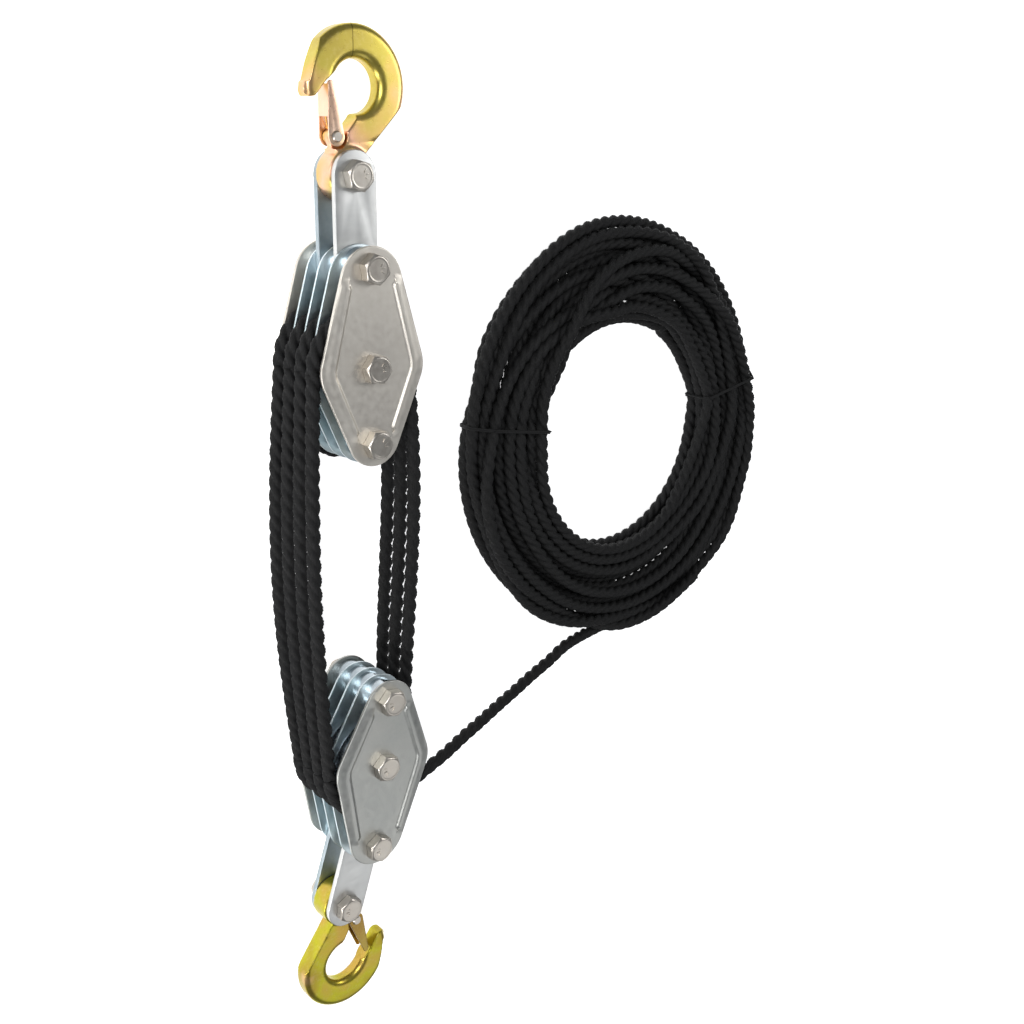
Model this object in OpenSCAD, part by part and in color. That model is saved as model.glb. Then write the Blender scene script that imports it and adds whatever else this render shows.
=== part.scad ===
// Rope pulley hoist lying on a bench: two four-sheave blocks, each with a latched hook,
// seven falls of rope between them, and the spare rope in a tied round coil.
// Units are millimetres. +Z is up from the bench, +Y points from the lower to the upper hook.
// The origin is on the upper block's axle, at the end face of its bolt on the bench.

/* [Rope] */
// Diameter of the rope
rope_d = 10; // [8:0.5:11]
// Distance between the axles of the two blocks
axle_gap = 295; // [260:5:500]
// How far the slackest left-hand fall bows outwards
fall_bow = 10; // [5:0.5:11]

/* [Block] */
// Axle to hook-end bolt
hook_end = 65; // [63:0.5:70]
// Axle to throat-end bolt
throat_end = 51; // [50.5:0.5:54]
// Half the width of a plate at the axle
waist_half = 40.5; // [40:0.5:46]
// Clear width of one sheave's bay
bay_gap = 12; // [12:0.1:13]
// Thickness of the two outer plates
outer_t = 2.5; // [2:0.1:3]
// Thickness of the three separator plates
separator_t = 1.5; // [1.2:0.1:2]
// Rim radius of a sheave
sheave_r = 34; // [33.5:0.1:34.2]
// Height of the pressed ridges on the outer plates
ridge_h = 1.6; // [1:0.1:2]
// How far the lower block is turned on the bench, in degrees
lower_turn = -7; // [-10:1:10]

/* [Bolts] */
// Shank diameter of every bolt
bolt_d = 12; // [12:0.1:12.1]
// Width across the flats of heads and nuts
head_af = 18; // [17:0.5:19]
// Height of a bolt head
head_h = 7.5; // [6:0.5:9]
// Height of a nut
nut_h = 10.8; // [8:0.1:11]

/* [Straps and hooks] */
// Distance between the two holes of a strap
strap_len = 57; // [54:0.5:64]
// Width of a strap
strap_w = 32; // [28:0.5:33]
// Thickness of a strap
strap_t = 4; // [3:0.5:4.5]
// Thickness of a hook's bowl
hook_t = 14; // [12:0.5:16]
// How far the lower straps swing at rest, in degrees
lower_strap_swing = -11; // [-20:1:20]
// How far the lower hook swings back on them, in degrees
lower_hook_swing = 27; // [-20:1:30]

/* [Coil] */
// Outer radius of the coil
coil_outer_r = 195; // [170:1:198]
// Width of its band of turns
coil_band = 96; // [80:1:98]
// Height of its band of turns
coil_h = 31; // [20:1:40]

/* [Hidden] */
$fn = 96;

rope_r = rope_d / 2;
bolt_r = bolt_d / 2;
// Radial clearance of a running fit, and of a bolt in a plain hole
run_c = 0.05;
hole_c = 0.25;
// Clearance between bodies that move past each other
move_c = 0.3;
// Length of thread that stands out past a nut
thread_out = 2.2;

// Heights of the stack, from the bench up
back_z = nut_h + thread_out;
pitch = bay_gap + separator_t;
first_bay_z = back_z + outer_t;
front_z = first_bay_z + 4 * bay_gap + 3 * separator_t;
mid_z = (first_bay_z + front_z) / 2;
function bay_z(k) = first_bay_z + (k - 1) * pitch;
function bay_mid_z(k) = bay_z(k) + bay_gap / 2;
function separator_z(k) = bay_z(k) + bay_gap;

// Plate outline: blunt rounded ends, centred inwards of their bolts, and a broad waist
hook_end_r = 24;
hook_end_in = 9.5;
throat_end_r = 20.5;
throat_end_in = 5;
waist_r = 24;
// Ridge: width, distance in from the waist, and how far its two ends lean inwards
ridge_w = 6;
ridge_edge = 8.5;
ridge_hook = [13, 55];
ridge_throat = [16, -43];

// Spacer tubes
spacer_r = 13;
anchor_spacer_r = 9;

// Sheaves and bushes
sheave_t = bay_gap - 2 * move_c;
bush_r = 9;
groove_r = rope_r + move_c;
groove_c = 33.3;
hub_r = 14;
web_t = 6;
web_r = 26;

// Rope on a sheave: slack, so its circle is larger than the groove and leans to the left
wrap_r = 37.5;
wrap_x = -4;
lower_x = 2;
lower_y = -axle_gap;
// Gap that lets the falls part from the lower block's rope
fall_gap = 0.8;

// Straps: heights of their undersides, and the hook's eye that fills the gap between them
front_strap_z = separator_z(3) - move_c - strap_t;
back_strap_z = separator_z(1) + separator_t + move_c;
eye_t = front_strap_z - back_strap_z - strap_t - 2 * move_c;
strap_r = strap_w / 2;

// Hook outline, from its bolt: bowl, beak tip, neck and latch pivot
eye_r = 17;
bowl = [6.5, 54];
bowl_outer_r = 37.3;
bowl_inner = [7, 54];
bowl_inner_r = 16.5;
tip = [-27.5, 51];
tip_r = 4;
latch_pivot = [-9, 23.5];
latch_lug_r = 5.2;
latch_lug_t = 5;
latch_eye_r = 6;
latch_pin_r = 2.5;
latch_half = 4.8;
latch_t = 1.2;
latch_tip = [-12.4, 55];

// Coil and haul line
coil_c = [300, -97];
tie_t = 1.2;
tie_w = 3;
tie_angles = [171, 10];
coil_corner = 9;
haul_points = [
    [29, -324.4, 62], [49, -318, 61], [69, -314, 57.5], [91, -310, 51.5],
    [114, -307, 45], [138, -303, 38.5], [162, -299, 32.5], [186, -294, 27],
    [210, -289, 22.5], [238, -281.5, 18]
];
haul_turn = -72.2;

// ---------- helpers ----------

function unit(v) = v / norm(v);
function polar(r, a) = [r * cos(a), r * sin(a)];

// Angle of the shared normal of two circles' outer tangent, on the left or right side
function tangent_angle(c1, r1, c2, r2, side) =
    let (d = c2 - c1)
    atan2(d.y, d.x) + side * acos((r1 - r2) / norm(d));

// Filled outline of two circles and the band between their outer tangents
module link(c1, r1, c2, r2) {
    left = tangent_angle(c1, r1, c2, r2, 1);
    right = tangent_angle(c1, r1, c2, r2, -1);
    translate(c1) circle(r1);
    translate(c2) circle(r2);
    polygon([
        c1 + polar(r1, left), c2 + polar(r2, left),
        c2 + polar(r2, right), c1 + polar(r1, right)
    ]);
}

// Smooth step from 0 to 1
function ease(t) =
    let (u = max(0, min(1, t)))
    u * u * (3 - 2 * u);

// Closed tube of rope round a list of points, its section square to the route
function ring(p, t, r, sides) =
    let (side = unit(cross(t, [0, 0, 1])), up = cross(side, t))
    [for (k = [0:sides - 1]) p + r * (cos(360 * k / sides) * side + sin(360 * k / sides) * up)];

function heading(route, i) =
    unit(route[min(i + 1, len(route) - 1)] - route[max(i - 1, 0)]);

module tube(route, r, sides = 12) {
    last = len(route) - 1;
    points = [for (i = [0:last]) each ring(route[i], heading(route, i), r, sides)];
    walls = [
        for (i = [0:last - 1]) for (k = [0:sides - 1])
            let (a = i * sides + k, b = i * sides + (k + 1) % sides)
            each [[a, a + sides, b], [b, a + sides, b + sides]]
    ];
    start_cap = [for (k = [0:sides - 1]) k];
    end_cap = [for (k = [sides - 1:-1:0]) last * sides + k];
    polyhedron(points, concat([start_cap], walls, [end_cap]));
}

// Part of a ring of rope round a vertical axis
module rope_arc(radius, from, sweep) {
    rotate([0, 0, from]) rotate_extrude(angle = sweep) translate([radius, 0]) circle(rope_r, $fn = 48);
}

// ---------- places of the two blocks ----------

module in_block(upper) {
    if (upper) children();
    else translate([lower_x, lower_y, 0]) rotate([0, 0, 180 + lower_turn]) children();
}

module in_straps(upper) {
    in_block(upper) translate([0, hook_end, 0])
        rotate([0, 0, upper ? 0 : lower_strap_swing]) children();
}

module in_hook(upper) {
    in_straps(upper) translate([0, strap_len, 0])
        rotate([0, 0, upper ? 0 : lower_hook_swing]) children();
}

// ---------- plates ----------

module plate_outline() {
    hook_c = [0, hook_end - hook_end_in];
    throat_c = [0, throat_end_in - throat_end];
    for (side = [-1, 1]) {
        waist_c = [side * (waist_half - waist_r), 0];
        link(hook_c, hook_end_r, waist_c, waist_r);
        link(throat_c, throat_end_r, waist_c, waist_r);
    }
    link(hook_c, hook_end_r, throat_c, throat_end_r);
}

module bolt_holes() {
    for (y = [hook_end, 0, -throat_end])
        translate([0, y]) circle(bolt_r + hole_c);
}

module plate_blank(thickness) {
    linear_extrude(thickness) difference() {
        plate_outline();
        bolt_holes();
    }
}

// One pressed ridge in plan: two straight runs that meet at the waist
module ridge_outline() {
    waist_x = waist_half - ridge_edge;
    link([waist_x - ridge_hook.x, ridge_hook.y], ridge_w / 2, [waist_x, 3], ridge_w / 2);
    link([waist_x - ridge_throat.x, ridge_throat.y], ridge_w / 2, [waist_x, -3], ridge_w / 2);
    link([waist_x, -3], ridge_w / 2, [waist_x, 3], ridge_w / 2);
}

module outer_plate() {
    plate_blank(outer_t);
    for (side = [0, 1]) mirror([side, 0, 0])
        translate([0, 0, outer_t]) linear_extrude(ridge_h) ridge_outline();
}

module front_plate(upper) {
    color("lightgray") in_block(upper) translate([0, 0, front_z]) outer_plate();
}

module back_plate(upper) {
    color("lightgray") in_block(upper)
        translate([0, 0, first_bay_z]) mirror([0, 0, 1]) outer_plate();
}

module separator(upper, k) {
    color("lightsteelblue") in_block(upper)
        translate([0, 0, separator_z(k)]) plate_blank(separator_t);
}

// ---------- bolts, nuts and spacers ----------

// Hexagon with its outer corners turned to a chamfer
module hex_body(height) {
    corner_r = head_af / 2 / cos(30);
    intersection() {
        cylinder(h = height, r = corner_r, $fn = 6);
        union() {
            cylinder(h = height - 1.2, r = corner_r + 1);
            translate([0, 0, height - 1.2])
                cylinder(h = 1.2, r1 = corner_r, r2 = head_af / 2 - 0.4);
        }
    }
}

// Bolt with its head on top at head_z and its shank reaching down to end_z
module bolt(head_z, end_z, turn) {
    translate([0, 0, head_z]) rotate([0, 0, turn]) hex_body(head_h);
    translate([0, 0, end_z + 1]) cylinder(h = head_z - end_z, r = bolt_r);
    translate([0, 0, end_z]) cylinder(h = 1, r1 = bolt_r - 1, r2 = bolt_r);
}

// Nut whose upper face is at top_z, chamfered below
module nut(top_z, turn) {
    translate([0, 0, top_z]) rotate([0, 0, turn]) mirror([0, 0, 1]) difference() {
        hex_body(nut_h);
        translate([0, 0, -1]) cylinder(h = nut_h + 2, r = bolt_r + run_c);
    }
}

module axle_bolt(upper) {
    color("silver") in_block(upper) bolt(front_z + outer_t, 0, 20);
}

module end_bolts(upper) {
    color("silver") in_block(upper) {
        translate([0, hook_end, 0]) bolt(front_z + outer_t, 0, 10);
        translate([0, -throat_end, 0]) bolt(front_z + outer_t, 0, 24);
    }
}

module nuts(upper) {
    color("silver") in_block(upper)
        for (y = [hook_end, 0, -throat_end])
            translate([0, y, 0]) nut(back_z, y);
}

module spacer(bottom_z, top_z, radius) {
    translate([0, 0, bottom_z]) linear_extrude(top_z - bottom_z) difference() {
        circle(radius);
        circle(bolt_r + hole_c);
    }
}

// Tubes on the hook-end bolt: full length in the outer bays, shorter beside the straps
module hook_end_spacers(upper) {
    color("slategray") in_block(upper) translate([0, hook_end, 0]) {
        spacer(bay_z(1), separator_z(1), spacer_r);
        spacer(back_strap_z + strap_t + move_c, separator_z(2), spacer_r);
        spacer(bay_z(3), front_strap_z - move_c, spacer_r);
        spacer(bay_z(4), front_z, spacer_r);
    }
}

// Tubes on the throat-end bolt: the upper block's first one is thin, for the rope's end
module throat_end_spacers(upper) {
    color("slategray") in_block(upper) translate([0, -throat_end, 0])
        for (k = [1:4])
            spacer(bay_z(k), bay_z(k) + bay_gap, upper && k == 1 ? anchor_spacer_r : spacer_r);
}

// ---------- sheaves ----------

module sheave(upper, k) {
    half = sheave_t / 2;
    color("dimgray") in_block(upper) translate([0, 0, bay_mid_z(k)]) rotate_extrude()
        difference() {
            union() {
                translate([bush_r, -half]) square([hub_r - bush_r, sheave_t]);
                translate([bush_r, -web_t / 2]) square([web_r - bush_r + 1, web_t]);
                translate([web_r, -half]) square([sheave_r - web_r, sheave_t]);
            }
            translate([groove_c, 0]) circle(groove_r);
        }
}

module bush(upper, k) {
    color("darkgoldenrod") in_block(upper)
        translate([0, 0, bay_mid_z(k) - sheave_t / 2]) linear_extrude(sheave_t) difference() {
            circle(bush_r);
            circle(bolt_r + run_c);
        }
}

// ---------- straps ----------

module strap(bottom_z) {
    translate([0, 0, bottom_z]) linear_extrude(strap_t) difference() {
        union() {
            circle(strap_r);
            translate([0, strap_len]) circle(strap_r);
            translate([-strap_r, 0]) square([strap_w, strap_len]);
        }
        for (y = [0, strap_len])
            translate([0, y]) circle(bolt_r + run_c);
    }
}

module front_strap(upper) {
    color("gainsboro") in_straps(upper) strap(front_strap_z);
}

module back_strap(upper) {
    color("lightslategray") in_straps(upper) strap(back_strap_z);
}

module hook_bolt(upper) {
    color("silver") in_straps(upper) translate([0, strap_len, 0])
        bolt(front_strap_z + strap_t, back_strap_z - nut_h - thread_out, 15);
}

module hook_nut(upper) {
    color("silver") in_straps(upper) translate([0, strap_len, 0])
        nut(back_strap_z, 5);
}

// ---------- hooks ----------

module hook_outline() {
    difference() {
        translate(bowl) circle(bowl_outer_r);
        translate(bowl_inner) circle(bowl_inner_r);
        // The mouth, flared towards the tip
        polygon([
            [-60, 44], [-27, 47.5], [-24.5, 47.5], [-15.5, 57], [-8, 63],
            [7, 54], [6, 34], [-12, 22], [-60, 22]
        ]);
        // The beak's straight brow
        polygon([[-60, 94], [-19, 81], [-25, 67], [-28.5, 56], [-60, 56]]);
        // Below the bowl the neck takes over, and its straight back trims the corner
        polygon([[-60, 35], [6, 35], [10, 20], [10, 0], [-60, 0]]);
        polygon([[44, 45], [31.5, 32.5], [11, 12], [11, 0], [60, 0], [60, 45]]);
    }
    translate(tip) circle(tip_r);
}

module neck_outline() {
    polygon([
        [-8, 10], [-12, 17], [-9, 22], [-1, 27], [5, 34], [16, 39],
        [38, 39], [31.5, 32.5], [11, 12]
    ]);
}

module hook_solid() {
    difference() {
        union() {
            // Forged bowl and neck, cut away round the latch's eye
            translate([0, 0, mid_z - hook_t / 2]) linear_extrude(hook_t) {
                hook_outline();
                difference() {
                    neck_outline();
                    translate(latch_pivot) circle(latch_eye_r + 1.5);
                }
            }
            // Thick round eye between the straps
            translate([0, 0, mid_z - eye_t / 2])
                cylinder(h = eye_t, r = eye_r);
            // Lug that carries the latch
            translate([0, 0, mid_z - latch_lug_t / 2]) linear_extrude(latch_lug_t)
                link([-3, 16], 6, latch_pivot, latch_lug_r);
        }
        translate([0, 0, mid_z - hook_t]) {
            cylinder(h = 2 * hook_t, r = bolt_r + run_c);
            translate(latch_pivot) cylinder(h = 2 * hook_t, r = latch_pin_r);
        }
    }
}

module hook(upper) {
    color("darkkhaki") in_hook(upper) hook_solid();
}

// One cheek of the latch in plan
module latch_cheek() {
    difference() {
        link(latch_pivot, latch_eye_r, latch_tip, 2.2);
        translate(latch_pivot) circle(latch_pin_r + run_c);
    }
}

// Pressed channel: two cheeks joined by a web along the outer edge
module latch(upper) {
    side = tangent_angle(latch_pivot, latch_eye_r, latch_tip, 2.2, 1);
    out = polar(1, side);
    start = latch_pivot + latch_eye_r * out + 12 * unit(latch_tip - latch_pivot);
    end = latch_tip + 2.2 * out;
    color("rosybrown") in_hook(upper) translate([0, 0, mid_z]) {
        for (z = [-latch_half - latch_t, latch_half])
            translate([0, 0, z]) linear_extrude(latch_t) latch_cheek();
        translate([0, 0, -latch_half - latch_t])
            linear_extrude(2 * (latch_half + latch_t))
                polygon([start, end, end - latch_t * out, start - latch_t * out]);
    }
}

module latch_pin(upper) {
    length = 2 * (latch_half + latch_t + move_c);
    color("silver") in_hook(upper)
        translate([latch_pivot.x, latch_pivot.y, mid_z]) {
            translate([0, 0, -length / 2]) cylinder(h = length, r = latch_pin_r);
            for (side = [0, 1]) mirror([0, 0, side])
                translate([0, 0, length / 2]) cylinder(h = 1.2, r1 = 3.6, r2 = 2.8);
        }
}

// Torsion spring: a coil on the pin at each side of the lug
module latch_spring(upper) {
    wire = 0.5;
    color("goldenrod") in_hook(upper) translate([latch_pivot.x, latch_pivot.y, mid_z])
        for (z = [-3.6, 3.6]) translate([0, 0, z])
            rotate_extrude() translate([4, 0]) circle(wire, $fn = 24);
}

// ---------- rope ----------

left_x = wrap_x - wrap_r;
right_x = wrap_x + wrap_r;
anchor_c = [0, -throat_end];
anchor_arc_r = anchor_spacer_r + rope_r + 0.2;
anchor_turn = tangent_angle([wrap_x, 0], wrap_r, anchor_c, anchor_arc_r, 1);

// Straight round bar between two points of a plan, its ends held back by a small gap
module bar(a, b, r, gap) {
    d = b - a;
    translate([a.x, a.y, 0]) rotate([0, 90, atan2(d.y, d.x)])
        translate([0, 0, gap]) cylinder(h = norm(d) - 2 * gap, r = r);
}

// Over the four upper sheaves, and from the first one down round its thin spacer
module rope_upper_wraps() {
    color("black") {
        for (k = [2:4])
            translate([wrap_x, 0, bay_mid_z(k)]) rope_arc(wrap_r, 0, 180);
        translate([0, 0, bay_mid_z(1)]) {
            translate([wrap_x, 0, 0]) rope_arc(wrap_r, anchor_turn, 180 - anchor_turn);
            bar([wrap_x, 0] + polar(wrap_r, anchor_turn),
                anchor_c + polar(anchor_arc_r, anchor_turn), rope_r, 0.05);
            translate([anchor_c.x, anchor_c.y, 0])
                rope_arc(anchor_arc_r, 180, 180 + anchor_turn);
        }
    }
}

// Crimped sleeve on the rope's end beyond the thin spacer
module rope_anchor_ferrule() {
    color("silver")
        translate([anchor_c.x - anchor_arc_r, anchor_c.y, bay_mid_z(1)])
            rotate([-90, 0, 0]) cylinder(h = 9, r = rope_r + 0.1);
}

// Under the four lower sheaves; the fourth one's rope leaves as the haul line
module rope_lower_wraps() {
    color("black") {
        for (k = [1:3])
            translate([wrap_x + lower_x, lower_y, bay_mid_z(k)]) rope_arc(wrap_r, 180, 180);
        translate([wrap_x + lower_x, lower_y, bay_mid_z(4)])
            rope_arc(wrap_r, 180, 180 + haul_turn);
    }
}

rings = 8;
cross_start = 0.14;

// The back fall is the slackest on the left, and the front one on the right
function left_bow(k) = fall_bow - 1.5 * (k - 1);
function right_bow(k) = 2 * k;

function left_fall(k) = [
    for (i = [0:rings - 1])
        let (t = i / (rings - 1), x = left_x + lower_x * t - left_bow(k) * sin(180 * t))
        [x, -t * (axle_gap - fall_gap), bay_mid_z(k)]
];

// A right-hand fall leaves lower bay k and reaches upper bay k + 1
function right_fall(k) = [
    for (i = [0:rings - 1])
        let (t = i / (rings - 1), s = ease((t - cross_start) / (1 - 2 * cross_start)))
        let (x = right_x + lower_x * t + right_bow(k) * sin(180 * t))
        [x, -t * (axle_gap - fall_gap), bay_mid_z(k + 1) - s * pitch]
];

module rope_falls() {
    color("black") {
        for (k = [1:4]) tube(left_fall(k), rope_r);
        for (k = [1:3]) tube(right_fall(k), rope_r);
    }
}

module haul_line() {
    start = [wrap_x + lower_x, lower_y] + polar(wrap_r, haul_turn);
    color("black")
        tube(concat([[start.x, start.y, bay_mid_z(4)]], haul_points), rope_r);
}

// Section of the coil's band, from its inner to its outer side
module coil_section(grow) {
    translate([coil_outer_r - coil_band - grow, tie_t - grow]) {
        w = coil_band + 2 * grow;
        h = coil_h + 2 * grow;
        c = coil_corner;
        translate([c, 0]) square([w - 2 * c, h]);
        translate([0, c]) square([w, h - 2 * c]);
        for (x = [c, w - c], y = [c, h - c]) translate([x, y]) circle(c);
    }
}

module rope_coil() {
    color("black") translate([coil_c.x, coil_c.y, 0]) rotate_extrude() coil_section(0);
}

module coil_ties() {
    color("black") translate([coil_c.x, coil_c.y, 0])
        for (angle = tie_angles) rotate([90, 0, angle]) translate([0, 0, -tie_w / 2])
            linear_extrude(tie_w) difference() {
                coil_section(tie_t);
                coil_section(0);
            }
}

// ---------- nodes ----------

front_plate(true);  // upper_front_plate
back_plate(true);  // upper_back_plate
separator(true, 1);  // upper_separator_1
separator(true, 2);  // upper_separator_2
separator(true, 3);  // upper_separator_3
axle_bolt(true);  // upper_axle_bolt
end_bolts(true);  // upper_end_bolts
nuts(true);  // upper_nuts
hook_end_spacers(true);  // upper_hook_end_spacers
throat_end_spacers(true);  // upper_throat_end_spacers
sheave(true, 1);  // upper_sheave_1
sheave(true, 2);  // upper_sheave_2
sheave(true, 3);  // upper_sheave_3
sheave(true, 4);  // upper_sheave_4
bush(true, 1);  // upper_bush_1
bush(true, 2);  // upper_bush_2
bush(true, 3);  // upper_bush_3
bush(true, 4);  // upper_bush_4
front_strap(true);  // upper_front_strap
back_strap(true);  // upper_back_strap
hook_bolt(true);  // upper_hook_bolt
hook_nut(true);  // upper_hook_nut
hook(true);  // upper_hook
latch(true);  // upper_latch
latch_pin(true);  // upper_latch_pin
latch_spring(true);  // upper_latch_spring
front_plate(false);  // lower_front_plate
back_plate(false);  // lower_back_plate
separator(false, 1);  // lower_separator_1
separator(false, 2);  // lower_separator_2
separator(false, 3);  // lower_separator_3
axle_bolt(false);  // lower_axle_bolt
end_bolts(false);  // lower_end_bolts
nuts(false);  // lower_nuts
hook_end_spacers(false);  // lower_hook_end_spacers
throat_end_spacers(false);  // lower_throat_end_spacers
sheave(false, 1);  // lower_sheave_1
sheave(false, 2);  // lower_sheave_2
sheave(false, 3);  // lower_sheave_3
sheave(false, 4);  // lower_sheave_4
bush(false, 1);  // lower_bush_1
bush(false, 2);  // lower_bush_2
bush(false, 3);  // lower_bush_3
bush(false, 4);  // lower_bush_4
front_strap(false);  // lower_front_strap
back_strap(false);  // lower_back_strap
hook_bolt(false);  // lower_hook_bolt
hook_nut(false);  // lower_hook_nut
hook(false);  // lower_hook
latch(false);  // lower_latch
latch_pin(false);  // lower_latch_pin
latch_spring(false);  // lower_latch_spring
rope_upper_wraps();
rope_falls();
rope_lower_wraps();
rope_anchor_ferrule();
haul_line();
rope_coil();
coil_ties();
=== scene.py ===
"""Rope pulley hoist: two four-sheave blocks reeved with black three-strand rope."""
import math

import bmesh
import bpy
import numpy as np
from mathutils import Matrix, Vector


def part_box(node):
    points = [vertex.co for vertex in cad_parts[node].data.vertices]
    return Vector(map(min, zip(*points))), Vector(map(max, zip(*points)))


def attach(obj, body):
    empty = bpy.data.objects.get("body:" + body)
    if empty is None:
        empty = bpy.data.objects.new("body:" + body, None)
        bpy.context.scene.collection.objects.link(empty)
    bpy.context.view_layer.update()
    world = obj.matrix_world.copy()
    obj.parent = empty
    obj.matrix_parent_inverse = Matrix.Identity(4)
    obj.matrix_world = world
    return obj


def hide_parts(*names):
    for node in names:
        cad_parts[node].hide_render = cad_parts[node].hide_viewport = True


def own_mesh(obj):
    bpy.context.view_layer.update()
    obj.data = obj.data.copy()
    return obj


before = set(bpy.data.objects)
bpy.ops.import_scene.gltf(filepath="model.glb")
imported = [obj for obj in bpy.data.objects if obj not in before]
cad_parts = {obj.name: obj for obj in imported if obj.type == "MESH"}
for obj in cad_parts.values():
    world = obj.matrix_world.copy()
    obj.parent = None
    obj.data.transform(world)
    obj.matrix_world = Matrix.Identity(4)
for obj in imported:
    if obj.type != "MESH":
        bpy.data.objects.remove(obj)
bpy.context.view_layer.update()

# ---------- sizes and places, in metres ----------

MM = 0.001
ROPE_R = 5 * MM
ROPE_PITCH = 31 * MM  # length of one turn of the rope's three strands
STEP = 2.6 * MM  # between the rope's cross-sections
YARN_SCALE = 20  # UV units per metre of rope
AXLE_GAP = 295 * MM
LOWER_X = 2 * MM  # how far the lower block lies to the side of the upper one
HOOK_END = 65 * MM
THROAT_END = 51 * MM
STRAP_LEN = 57 * MM
LOWER_TURN = 173  # angles are in degrees
BAY_PITCH = 13.5 * MM
BAY_GAP = 12 * MM

UPPER = Matrix.Identity(4)
LOWER = (Matrix.Translation((LOWER_X, -AXLE_GAP, 0))
         @ Matrix.Rotation(math.radians(LOWER_TURN), 4, "Z"))
BLOCKS = {"upper": UPPER, "lower": LOWER}
STRAP_SWING = {"upper": 0, "lower": -11}
HOOK_SWING = {"upper": 0, "lower": 27}


def height_of(node):
    """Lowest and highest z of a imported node"""
    low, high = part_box(node)
    return low[2], high[2]


FIRST_BAY_Z = height_of("upper_throat_end_spacers")[0]
FRONT_Z = height_of("upper_throat_end_spacers")[1]
MID_Z = (FIRST_BAY_Z + FRONT_Z) / 2


def bay_z(k):
    """Height of the rope's centre in bay k, counted from the back plate"""
    return FIRST_BAY_Z + BAY_GAP / 2 + (k - 1) * BAY_PITCH


def in_straps(side):
    """Frame of a strap pair, at the block's end bolt"""
    turn = Matrix.Rotation(math.radians(STRAP_SWING[side]), 4, "Z")
    return BLOCKS[side] @ Matrix.Translation((0, HOOK_END, 0)) @ turn


def in_hook(side):
    """Frame of a hook, at the bolt through its eye"""
    turn = Matrix.Rotation(math.radians(HOOK_SWING[side]), 4, "Z")
    return in_straps(side) @ Matrix.Translation((0, STRAP_LEN, 0)) @ turn


# ---------- camera ----------


def add_camera():
    """Camera above the object and to its left"""
    data = bpy.data.cameras.new("camera")
    data.sensor_width = 36
    data.lens = 42.46
    camera = bpy.data.objects.new("camera", data)
    camera.location = (-0.4485, 0.1557, 0.7210)
    camera.rotation_euler = [math.radians(a) for a in (-18.645, -40.998, 1.170)]
    bpy.context.scene.collection.objects.link(camera)
    bpy.context.scene.camera = camera


# ---------- mesh helpers ----------


def add_piece(name, verts, faces, smooth=40):
    """New mesh object from points and faces, shaded smooth below an angle in degrees"""
    mesh = bpy.data.meshes.new(name)
    mesh.from_pydata([tuple(v) for v in verts], [], [tuple(f) for f in faces])
    return add_object(name, mesh, smooth)


def add_object(name, mesh, smooth=40):
    """Links a mesh as a new object, with edges sharper than smooth degrees kept sharp"""
    mesh.validate()
    mesh.shade_smooth()
    mesh.set_sharp_from_angle(angle=math.radians(smooth))
    piece = bpy.data.objects.new(name, mesh)
    bpy.context.scene.collection.objects.link(piece)
    return piece


def joined(name, pieces, smooth=40):
    """One object from several, which are removed"""
    build = bmesh.new()
    for piece in pieces:
        build.from_mesh(piece.data)
        bpy.data.objects.remove(piece)
    mesh = bpy.data.meshes.new(name)
    build.to_mesh(mesh)
    build.free()
    return add_object(name, mesh, smooth)


def fix_normals(piece):
    """Welds a closed piece and turns its faces outwards"""
    build = bmesh.new()
    build.from_mesh(piece.data)
    bmesh.ops.remove_doubles(build, verts=build.verts, dist=1e-6)
    bmesh.ops.recalc_face_normals(build, faces=build.faces)
    build.to_mesh(piece.data)
    build.free()
    return piece


def rings_mesh(name, rings, smooth=40):
    """Skin over rings of equal length, closed by fans to the centres of its end rings"""
    rings = np.asarray(rings, float)
    count, sides, _ = rings.shape
    verts = list(rings.reshape(-1, 3))
    faces = []
    for i in range(count - 1):
        for k in range(sides):
            a = i * sides + k
            b = i * sides + (k + 1) % sides
            faces.append((a, b, b + sides, a + sides))
    for i in (0, count - 1):
        centre = len(verts)
        verts.append(rings[i].mean(axis=0))
        for k in range(sides):
            edge = (i * sides + k, i * sides + (k + 1) % sides)
            faces.append((centre, edge[1], edge[0]) if i == 0 else (centre, edge[0], edge[1]))
    return add_piece(name, verts, faces, smooth)


def frames_along(path):
    """Unit side and up vectors at each point of a path"""
    heading = np.gradient(path, axis=0)
    heading /= np.linalg.norm(heading, axis=1)[:, None]
    side = np.cross(heading, (0, 0, 1))
    side /= np.linalg.norm(side, axis=1)[:, None]
    return side, np.cross(side, heading)


def ease(t):
    """Smooth rise from 0 to 1"""
    t = np.clip(t, 0, 1)
    return t * t * (3 - 2 * t)


def path_lengths(path):
    """Length of a path up to each of its points"""
    steps = np.linalg.norm(np.diff(path, axis=0), axis=1)
    return np.concatenate([[0], np.cumsum(steps)])


def resample(path, step):
    """Points at even steps on a smooth curve through a path's points"""
    path = np.asarray(path, float)
    before = np.vstack([2 * path[0] - path[1], path, 2 * path[-1] - path[-2]])
    fine = []
    for i in range(1, len(before) - 2):
        p0, p1, p2, p3 = before[i - 1:i + 3]
        for t in np.linspace(0, 1, 12, endpoint=False):
            fine.append(0.5 * (2 * p1 + (p2 - p0) * t + (2 * p0 - 5 * p1 + 4 * p2 - p3) * t ** 2
                               + (3 * p1 - p0 - 3 * p2 + p3) * t ** 3))
    fine.append(before[-2])
    fine = np.array(fine)
    along = path_lengths(fine)
    count = max(3, int(round(along[-1] / step)) + 1)
    places = np.linspace(0, along[-1], count)
    return np.column_stack([np.interp(places, along, fine[:, i]) for i in range(3)])


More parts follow.
